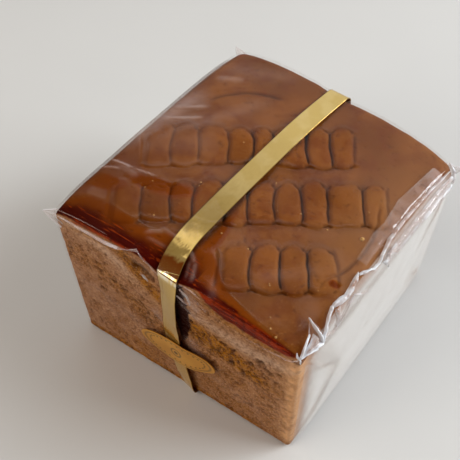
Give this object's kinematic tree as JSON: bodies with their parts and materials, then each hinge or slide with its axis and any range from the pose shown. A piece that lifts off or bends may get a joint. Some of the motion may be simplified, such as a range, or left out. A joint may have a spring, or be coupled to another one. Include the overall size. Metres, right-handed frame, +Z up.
{
  "type": "gingerbread loaf",
  "caption": "Square gingerbread loaf in clear wrap folded at its ends, with a gold ribbon round it and an oval seal on the cut front.",
  "frame": {"origin": "middle of the box round the part, on the surface that it stands on", "axes": "+Z up, the cut front with the seal faces -Y, the folded ends of the wrap face +X and -X"},
  "size_m": [0.121, 0.1218, 0.0883],
  "materials": {
    "crust": "matt brown baked crust with open beige crumb on the cut front, seen through clear glossy film",
    "film": "thin clear glossy wrapping film",
    "ribbon_gold": "satin gold metallic ribbon",
    "seal_foil": "satin ochre-gold paper foil"
  },
  "bodies": {
    "root": {"wrapped_loaf": "crust", "ribbon": "ribbon_gold", "seal_sticker": "seal_foil"}
  },
  "joints": []
}
